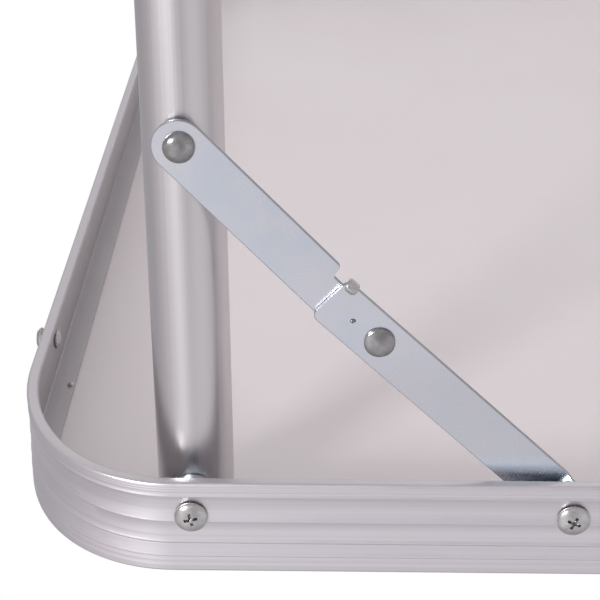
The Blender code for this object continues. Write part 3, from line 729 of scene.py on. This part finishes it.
def add_leg(half, side, mirror):
    """Drawn tube with its upper end rounded about the pivot, and a ribbed plug as its foot."""
    body = f"leg_set_{half}"
    label = f"{half}_{side}"
    inner, soft = LEG_RADIUS - LEG_WALL, LEG_END_ROUND
    rings = [leg_ring(radius, height) for radius, height in (
        (LEG_RADIUS - soft, None), (LEG_RADIUS, 0.0), (LEG_RADIUS, -LEG_LENGTH + soft),
        (LEG_RADIUS - soft, -LEG_LENGTH), (inner, -LEG_LENGTH), (inner, None))]
    tube = add_piece(f"leg_{label}", loft(rings, closed_loop=True), body, TUBE,
                     [f"leg_tube_{label}"], mirror)
    for place in (LEG_PIVOT, LEG_RIVET):
        carve(tube, bore(place, *LEG_BORE), mirror)
    plug = turned(foot_profile(), lambda u, v, w: splayed(u, LEG_Y + v, w))
    for vertex in plug.verts:  # worn flat on the floor
        vertex.co.z = max(vertex.co.z, 0.0)
    add_piece(f"foot_{label}", plug, body, PLASTIC, [f"foot_plug_{label}"], mirror)


def coped_ring(x_place, radius, sign, stand=0.0):
    """A ring round the crossbar where it meets a leg, or stands off it."""
    points = []
    for a in circle(TUBE_STEPS):
        u = radius * cos(a)
        reach = LEG_Y - sqrt((LEG_RADIUS + GAP) ** 2 - u * u) - stand
        points.append((x_place + u, sign * reach, BAR_HEIGHT + radius * sin(a)))
    return points


def add_crossbar(half, along):
    """Tube across the leg set, its ends coped to the legs, with a weld bead round each."""
    body = f"leg_set_{half}"
    x_place = LEG_PIVOT.x - (LEG_PIVOT.z - BAR_HEIGHT) * tan(LEG_SPLAY)
    inner = BAR_RADIUS - LEG_WALL
    rings = [coped_ring(x_place, radius, sign)
             for radius, sign in ((BAR_RADIUS, 1), (BAR_RADIUS, -1), (inner, -1), (inner, 1))]
    add_piece(f"stretcher_{half}", loft(rings, closed_loop=True), body, TUBE,
              [f"crossbar_{half}"], (along, 1))
    for sign, side in ((1, "rear"), (-1, "front")):
        rings = [coped_ring(x_place, BAR_RADIUS + GAP + WELD_BEAD * (0.5 + 0.5 * cos(turn)), sign,
                            WELD_BEAD * (0.5 + 0.5 * sin(turn))) for turn in circle(WELD_STEPS)]
        add_piece(f"stretcher_weld_{half}_{side}", loft(rings, closed_loop=True), body, TUBE,
                  (), (along, 1), sharp=60)


# ---------------------------------------------------------------- knee brace
def link_placer(start, towards):
    """Placer for a link drawn along the line between two pivots: (along, across, inset)."""
    line = (Vector((towards.x, towards.z)) - Vector((start.x, start.z))).normalized()
    normal = Vector((-line.y, line.x))

    def to_place(u, v, inset):
        point = Vector((start.x, start.z)) + line * u + normal * v
        return (point.x, SIDE - inset, point.y)
    return to_place


def strap(stations, to_place):
    """Flat bar from (along, low edge, high edge, inset) stations, its long edges softened."""
    soft, thick = LINK_SOFTENING, LINK_THICKNESS
    rings = []
    for along, low, high, inset in stations:
        tight = min(soft, (high - low) / 4)
        section = [(low + tight, 0.0), (low, soft), (low, thick - soft), (low + tight, thick),
                   (high - tight, thick), (high, thick - soft), (high, soft), (high - tight, 0.0)]
        rings.append([to_place(along, across, inset + level) for across, level in section])
    return loft(rings, cut=[0.0, 1.0, 1.0, 0.0, 0.0, 1.0, 1.0, 0.0])


def round_end(centre, inset, outwards, steps=16):
    """Stations of a half-round end about a pivot, from its tip inwards."""
    blunt = radians(4)  # the tip keeps a little width
    quarter = arc((0, 0), (LINK_EDGE, LINK_EDGE), blunt, pi / 2 - blunt, steps)
    return [(centre + outwards * reach, -half, half, inset) for reach, half in quarter]


def upper_link(to_place):
    """Link on the leg, with the notch that takes the lower link's stop."""
    start, end = LINK_LENGTH - NOTCH_START, LINK_LENGTH - NOTCH_END
    root = -LINK_EDGE + NOTCH_DEPTH
    tucked = -LINK_EDGE + LINK_TUCK
    low_edge = arc((start - NOTCH_CORNER, -LINK_EDGE + NOTCH_CORNER),
                   (NOTCH_CORNER, NOTCH_CORNER), -pi / 2, radians(80), 6)
    low_edge += arc((start + NOTCH_ROOT + NOTCH_LEAN, root - NOTCH_ROOT),
                    (NOTCH_ROOT, NOTCH_ROOT), radians(170), radians(-80), 4)
    low_edge += [(end - NOTCH_RUN_OUT, root)]
    low_edge += arc((end, tucked + TUCK_ROUND), (TUCK_ROUND, TUCK_ROUND),
                    radians(200), radians(70), 4)
    stations = round_end(0.0, UPPER_LINK_INSET, -1)
    stations += [(x, low, LINK_EDGE, UPPER_LINK_INSET) for x, low in low_edge]
    for x, low, high, inset in reversed(round_end(LINK_LENGTH, UPPER_LINK_INSET, 1)):
        stations.append((x, max(low, tucked), high, inset))
    return strap(stations, to_place)


def lower_link(to_place):
    """Link on the frame: a set foot, and a tail past the knee."""
    stations = round_end(0.0, LOWER_FOOT_INSET, -1)
    for k in range(JOGGLE_STEPS + 1):
        share = k / JOGGLE_STEPS
        shift = (LOWER_LINK_INSET - LOWER_FOOT_INSET) * (0.5 - 0.5 * cos(pi * share))
        along = JOGGLE_START + (JOGGLE_END - JOGGLE_START) * share
        stations.append((along, -LINK_EDGE, LINK_EDGE, LOWER_FOOT_INSET + shift))
    corner = LINK_TIP_CORNER
    tip = (LINK_LENGTH + LINK_TAIL - corner, LINK_EDGE - corner)
    for x, half in arc(tip, (corner, corner), pi / 2, -pi / 2, 6):
        stations.append((x, -half, half, LOWER_LINK_INSET))
    return strap(stations, to_place)


def stop_ear(to_place):
    """Knuckle pressed out of the corner of the lower link's end, over the upper link's edge."""
    crown = (LINK_EDGE - EAR_SET_IN, LOWER_LINK_INSET - EAR_STAND + EAR_BEND)
    spine = arc(crown, (EAR_BEND, EAR_BEND), radians(-135), radians(150), EAR_STEPS)
    sizes = [*EAR_TAPER_IN, *[1.0] * (len(spine) - len(EAR_TAPER_IN) - len(EAR_TAPER_OUT)),
             *EAR_TAPER_OUT]
    tip = LINK_LENGTH + LINK_TAIL
    start, end = tip - EAR_NEAR, tip - EAR_FAR
    middle = Vector(((start + end) / 2, EAR_THICKNESS / 2))
    section = rounded([(along, level, EAR_ROUND) for along, level in (
        (start, 0.0), (end, 0.0), (end, EAR_THICKNESS), (start, EAR_THICKNESS))], 4)
    rings = []
    for k, ((across, inset), size) in enumerate(zip(spine, sizes)):
        before, after = spine[max(k - 1, 0)], spine[min(k + 1, len(spine) - 1)]
        forward = Vector((after[0] - before[0], after[1] - before[1])).normalized()
        inward = Vector((-forward.y, forward.x))
        ring = []
        for point in section:
            along, depth = middle + (Vector(point) - middle) * size
            ring.append(to_place(along, across + inward.x * depth, inset + inward.y * depth))
        rings.append(ring)
    return loft(rings)


def add_brace(half, side, mirror):
    """Both links of a corner's brace, bored for their pins, and the lower one's ear and pit."""
    label = f"{half}_{side}"
    upper_place = link_placer(LEG_RIVET, KNEE)
    upper = add_piece(f"upper_link_{label}", upper_link(upper_place), f"brace_upper_{label}", ZINC,
                      [f"brace_upper_{label}"], mirror)
    lower_place = link_placer(FRAME_PIVOT, KNEE)
    lower = add_piece(f"lower_link_{label}", lower_link(lower_place), f"brace_lower_{label}", ZINC,
                      [f"brace_lower_{label}"], mirror)
    add_piece(f"stop_ear_{label}", stop_ear(lower_place), f"brace_lower_{label}", NICKEL,
              (), mirror, sharp=60)
    carve(upper, bore(LEG_RIVET, *UPPER_LINK_BORE), mirror)
    carve(lower, bore(FRAME_PIVOT, *LOWER_LINK_BORE), mirror)
    x, y, z = lower_place(LINK_LENGTH + PIT_ALONG, PIT_ACROSS, LOWER_LINK_INSET)
    pit = turned(PIT_PROFILE, lambda u, v, inset: (x + u, y - inset, z + v), PIT_STEPS)
    carve(lower, pit, mirror)


# ---------------------------------------------------------------- fasteners
def recess_wing(to_place, angle):
    """One tapered wing of a cross recess, cut down from above a screw's crown."""
    rings = []
    for inset, reach, width in RECESS:
        corners = ((reach, width), (-reach, width), (-reach, -width), (reach, -width))
        rings.append([to_place(u * cos(angle) - v * sin(angle),
                               u * sin(angle) + v * cos(angle), inset) for u, v in corners])
    return loft(rings)


def add_screw(name, stands_for, place, tail, mirror, body, turn):
    """Truss-head cross-recess screw through the side wall."""
    head = outward(dome(SCREW_HEAD_RADIUS, HEAD_RIM, SCREW_HEAD_HEIGHT, SCREW_HEAD_ROUND,
                        HEAD_RINGS))
    profile = head + [(SCREW_HEAD_RADIUS - SCREW_HEAD_ROUND, -GAP), (SHANK_RADIUS, -GAP)] + tail
    screw = add_piece(name, turned(profile, on_side(place)), body, NICKEL, [stands_for], mirror)
    for quarter in (0.0, pi / 2):
        carve(screw, recess_wing(on_side(place), turn + quarter), mirror)


def hexagon_nut(place, inset):
    """Hexagonal nut with chamfered corners, bored for its screw."""
    to_place = on_side(place)
    angles = circle(NUT_STEPS)
    rings = []
    for level, shrink in ((0.0, NUT_CHAMFER), (NUT_CHAMFER, 0.0),
                          (NUT_HEIGHT - NUT_CHAMFER, 0.0), (NUT_HEIGHT, NUT_CHAMFER)):
        ring = []
        for a in angles:
            flat = NUT_RADIUS * cos(pi / 6) / cos((a + pi / 6) % (pi / 3) - pi / 6)
            reach = min(flat, NUT_RADIUS) - shrink
            ring.append(to_place(reach * cos(a), reach * sin(a), inset + level))
        rings.append(ring)
    for level in (NUT_HEIGHT, 0.0):
        rings.append([to_place(NUT_BORE * cos(a), NUT_BORE * sin(a), inset + level)
                      for a in angles])
    return loft(rings, closed_loop=True)


def add_leg_fasteners(half, side, mirror):
    """The leg's pivot screw with its bush and nut, and the rivet of the upper link."""
    label = f"{half}_{side}"
    body = f"{half}_half"
    near, far = LEG_INSET - LEG_RADIUS, LEG_INSET + LEG_RADIUS
    tip = far + PIVOT_SCREW_TAIL
    across, along = SCREW_TIP_CHAMFER
    tail = [(SHANK_RADIUS, tip - along), (SHANK_RADIUS - across, tip), (0.0, tip)]
    add_screw(f"pivot_screw_{label}", f"leg_pivot_screw_{label}", LEG_PIVOT, tail, mirror, body,
              PIVOT_SCREW_TURN)

    start, end = WALL + GAP, near - GAP
    soft = (BUSH_ROUND, BUSH_ROUND)
    flat = BUSH_RADIUS - BUSH_ROUND
    bush = [(SHANK_RADIUS + GAP, start), (flat, start)]
    bush += arc((flat, start + BUSH_ROUND), soft, -pi / 2, pi / 2, 4)
    bush += arc((flat, end - BUSH_ROUND), soft, 0, pi / 2, 4)
    bush += [(SHANK_RADIUS + GAP, end)]
    add_piece(f"pivot_bush_{label}", turned(bush, on_side(LEG_PIVOT), BUSH_STEPS, closed_loop=True),
              body, ZINC, [f"leg_pivot_bush_{label}"], mirror)
    add_piece(f"pivot_nut_{label}", hexagon_nut(LEG_PIVOT, far + NUT_GAP), body, NICKEL,
              (), mirror)

    head_top = LOWER_FOOT_INSET + LINK_THICKNESS + GAP
    head_base = UPPER_LINK_INSET - TOUCH
    washer = (UPPER_LINK_INSET + LINK_THICKNESS + TOUCH, near - TOUCH)
    rivet = outward(dome(RIVET_HEAD_RADIUS, RIVET_RIM, head_base - head_top, RIVET_ROUND,
                         HEAD_RINGS), head_base)
    rivet += [(RIVET_HEAD_RADIUS - RIVET_ROUND, head_base), (SHANK_RADIUS, head_base),
              (SHANK_RADIUS, washer[0]), (RIVET_HEAD_RADIUS, washer[0]),
              (RIVET_HEAD_RADIUS, washer[1]), (SHANK_RADIUS, washer[1]),
              (SHANK_RADIUS, far + TOUCH), (RIVET_HEAD_RADIUS - TAIL_ROUND, far + TOUCH)]
    rim, crown = RIVET_TAIL
    rivet += dome(RIVET_HEAD_RADIUS, far + rim, far + crown, RIVET_ROUND)
    add_piece(f"brace_rivet_{label}", turned(rivet, on_side(LEG_RIVET)), f"leg_set_{half}", RIVET,
              [f"leg_rivet_{label}"], mirror)


def add_brace_fasteners(half, side, mirror):
    """The lower link's screw, its tail flush with the link, and the knee pin."""
    label = f"{half}_{side}"
    foot_back = LOWER_FOOT_INSET + LINK_THICKNESS
    spacer = (WALL + TOUCH, LOWER_FOOT_INSET - TOUCH)
    tail = [(SHANK_RADIUS, spacer[0]), (RIVET_HEAD_RADIUS, spacer[0]),
            (RIVET_HEAD_RADIUS, spacer[1]), (SHANK_RADIUS, spacer[1]),
            (SHANK_RADIUS, foot_back - 0.0002), (SHANK_RADIUS - 0.0003, foot_back),
            (0.0010, foot_back), (0.0, foot_back - 0.0003)]
    add_screw(f"brace_screw_{label}", f"brace_pivot_screw_{label}", FRAME_PIVOT, tail, mirror,
              f"{half}_half", BRACE_SCREW_TURN)

    head_base = LOWER_LINK_INSET - TOUCH
    link_back = UPPER_LINK_INSET + LINK_THICKNESS
    head = [(RIVET_HEAD_RADIUS - RIVET_ROUND, 0.0)]
    head += dome(RIVET_HEAD_RADIUS, HEAD_RIM, KNEE_HEAD_HEIGHT, RIVET_ROUND, 12)
    rivet = outward(head, head_base)
    rivet += [(SHANK_RADIUS, head_base), (SHANK_RADIUS, link_back + TOUCH),
              (KNEE_TAIL_RADIUS - TAIL_ROUND, link_back + TOUCH)]
    rim, crown = KNEE_TAIL
    rivet += dome(KNEE_TAIL_RADIUS, link_back + rim, link_back + crown, TAIL_ROUND)
    add_piece(f"knee_pin_{label}", turned(rivet, on_side(KNEE)), f"brace_lower_{label}", RIVET,
              [f"knee_rivet_{label}"], mirror)


def add_ledge_rivet(half, side, mirror):
    """Small domed pin that holds the board to the ledge of the short side."""
    x, y = -END + LEDGE_RIVET_FROM_END, SIDE - LEDGE_RIVET_FROM_SIDE
    z = TOP - LEDGE_DEPTH - LEDGE_THICKNESS
    base = LEDGE_RIVET_CROWN_BASE
    crown = arc((0.0, base), LEDGE_RIVET_CROWN, 0, -pi / 2, 8)[:-1]
    profile = [*LEDGE_RIVET_SHANK, *crown, (0.0, base - LEDGE_RIVET_CROWN[1])]
    rivet = turned(profile, lambda u, v, w: (x + u, y + v, z + w), 32)
    add_piece(f"ledge_rivet_{half}_{side}", rivet, f"{half}_half", NICKEL, (), mirror)


# ---------------------------------------------------------------- the table
for half_name, along_sign in (("left", 1), ("right", -1)):
    add_frame(half_name, along_sign)
    add_crossbar(half_name, along_sign)
for half_name, side_name, signs in QUADRANTS:
    add_leg(half_name, side_name, signs)
    add_brace(half_name, side_name, signs)
    add_leg_fasteners(half_name, side_name, signs)
    add_brace_fasteners(half_name, side_name, signs)
    add_ledge_rivet(half_name, side_name, signs)

CAD_FINISH = {"laminated_board": BOARD, "zinc_plate": ZINC, "bright_fastener": NICKEL,
              "grey_plastic": PLASTIC, "satin_tube": TUBE, "extruded_aluminium": EXTRUSION}
for subpart in frame["record"]["subparts"]:
    node = frame["nodes"][subpart["node"]]
    if not node.hide_render:
        node.data.materials.clear()
        node.data.materials.append(CAD_FINISH[subpart["material_slot"]])
        soften = node.modifiers.new("soften", "BEVEL")
        soften.width = SOFT_EDGE
        soften.segments = 2
        soften.limit_method = "ANGLE"
        soften.angle_limit = radians(40)


# ---------------------------------------------------------------- floor, light and camera
FLOOR_REACH = 40.0

# studio walls by bearing from +Y towards +X, in degrees: the level that a mirror would show
WALLS = ((-180, 0.46, 0.45, 0.46), (-120, 0.42, 0.41, 0.43), (-78, 0.58, 0.545, 0.57),
         (-52, 0.74, 0.71, 0.73), (-40, 0.86, 0.83, 0.85), (-26, 1.04, 1.02, 1.04),
         (-12, 0.84, 0.82, 0.85), (0, 0.76, 0.74, 0.77), (25, 0.74, 0.72, 0.75),
         (52, 0.73, 0.71, 0.73), (75, 0.62, 0.60, 0.62), (94, 0.48, 0.465, 0.48),
         (130, 0.38, 0.37, 0.38), (180, 0.46, 0.45, 0.46))
LOW_SHADE = (0.40, 0.385, 0.41)  # a darker patch, low down towards +Y
LOW_SHADE_BEARINGS = (-0.15, 0.05, 0.20, 0.45)  # where it fades in and out, in radians
LOW_SHADE_HEIGHTS = (0.30, 0.42)
LOW_SHADE_STRENGTH = 0.9
CEILING = (0.42, 0.40, 0.39)
CEILING_HEIGHTS = (0.60, 0.95)

CAMERA_FROM_CORNER = Vector((0.10095, 0.42727, -0.30633))
CAMERA_LENS = 97.26
CAMERA_PITCH, CAMERA_YAW, CAMERA_ROLL = radians(26.10), radians(-0.656), radians(180.19)


def add_floor():
    """The plain floor that the table stands on."""
    shape = bmesh.new()
    shape.faces.new([shape.verts.new((x * FLOOR_REACH, y * FLOOR_REACH, 0.0))
                     for x, y in ((-1, -1), (1, -1), (1, 1), (-1, 1))])
    mesh = bpy.data.meshes.new("studio_floor")
    shape.to_mesh(mesh)
    shape.free()
    mesh.materials.append(new_finish("studio_floor", floor_look))
    made = bpy.data.objects.new("studio_floor", mesh)
    bpy.context.collection.objects.link(made)
    return made


def add_softbox(name, place, target, size, radiance, tint=(1.0, 1.0, 1.0), glossy=False):
    """A soft light of an even radiance, which may also show in reflections."""
    lamp = bpy.data.lights.new(name, "AREA")
    lamp.shape = "RECTANGLE"
    lamp.size, lamp.size_y = size
    lamp.energy = radiance * pi * size[0] * size[1]
    lamp.color = tint
    made = bpy.data.objects.new(name, lamp)
    made.location = place
    made.rotation_euler = (Vector(place) - Vector(target)).to_track_quat("Z", "Y").to_euler()
    made.visible_camera = False
    made.visible_glossy = glossy
    bpy.context.collection.objects.link(made)
    return made


def spare(lamp, thing):
    """Keep a lamp's own light off one thing."""
    spared = bpy.data.collections.new(lamp.name + "_spares")
    spared.objects.link(thing)
    spared.collection_objects[0].light_linking.link_state = "EXCLUDE"
    lamp.light_linking.receiver_collection = spared


def add_surroundings():
    """White backdrop for the camera; softly graded studio walls for light and reflections."""
    world = bpy.data.worlds.new("studio")
    bpy.context.scene.world = world
    world.use_nodes = True
    nodes = Nodes(world.node_tree)
    background = world.node_tree.nodes["Background"]
    axes = nodes.axes(nodes.add("ShaderNodeTexCoord").outputs["Generated"])
    bearing = nodes.maths("ARCTAN2", axes["X"], axes["Y"])
    ramp = nodes.add("ShaderNodeValToRGB", Fac=nodes.spread(bearing, 0.0, 1.0, -pi, pi))
    stops = ramp.color_ramp.elements
    while len(stops) < len(WALLS):
        stops.new(0.5)
    for stop, (angle, *level) in zip(stops, WALLS):
        stop.position = (angle + 180) / 360
        stop.color = (*level, 1.0)
    shaded = nodes.product(nodes.spread(bearing, 0.0, 1.0, *LOW_SHADE_BEARINGS[:2]),
                           nodes.spread(bearing, 1.0, 0.0, *LOW_SHADE_BEARINGS[2:]))
    shaded = nodes.product(shaded, nodes.spread(axes["Z"], LOW_SHADE_STRENGTH, 0.0,
                                                *LOW_SHADE_HEIGHTS))
    tone = nodes.blend(shaded, ramp.outputs["Color"], LOW_SHADE)
    tone = nodes.blend(nodes.spread(axes["Z"], 0.0, 1.0, *CEILING_HEIGHTS), tone, CEILING)
    seen = nodes.add("ShaderNodeLightPath").outputs["Is Camera Ray"]
    nodes.feed(background, "Color", nodes.blend(seen, tone, (1.0, 1.0, 1.0)))
    background.inputs["Strength"].default_value = 1.0


def add_camera():
    """The photograph's view: from outside the rear, below the tabletop, rolled half a turn."""
    lens = bpy.data.cameras.new("photo_camera")
    lens.sensor_width = 36.0
    lens.lens = CAMERA_LENS
    lens.clip_start = 0.01
    camera = bpy.data.objects.new("photo_camera", lens)
    camera.location = Vector((-END, SIDE, TOP)) + CAMERA_FROM_CORNER
    aim = Euler((pi / 2 + CAMERA_PITCH, 0.0, pi + CAMERA_YAW)).to_matrix()
    camera.rotation_euler = (aim @ Matrix.Rotation(CAMERA_ROLL, 3, "Z")).to_euler()
    bpy.context.collection.objects.link(camera)
    bpy.context.scene.camera = camera


floor = add_floor()
add_surroundings()
key = add_softbox("key_left", place=(-1.79, 1.60, 0.08), target=(-0.82, 0.30, 0.69),
                  size=(0.4, 0.4), radiance=48.0, tint=(1.0, 0.985, 0.985), glossy=True)
spare(key, floor)  # it stands low, and would burn out a spot of the floor
add_softbox("underside_fill", place=(-0.9, 0.1, 0.03), target=(-0.9, 0.1, 1.0),
            size=(2.2, 2.2), radiance=0.2, tint=(1.0, 0.965, 0.985))
add_softbox("top", place=(0.3, -1.2, 2.4), target=(0.0, 0.0, 0.6), size=(2.2, 1.6), radiance=2.2)
add_camera()
bpy.context.scene.view_settings.view_transform = "Standard"
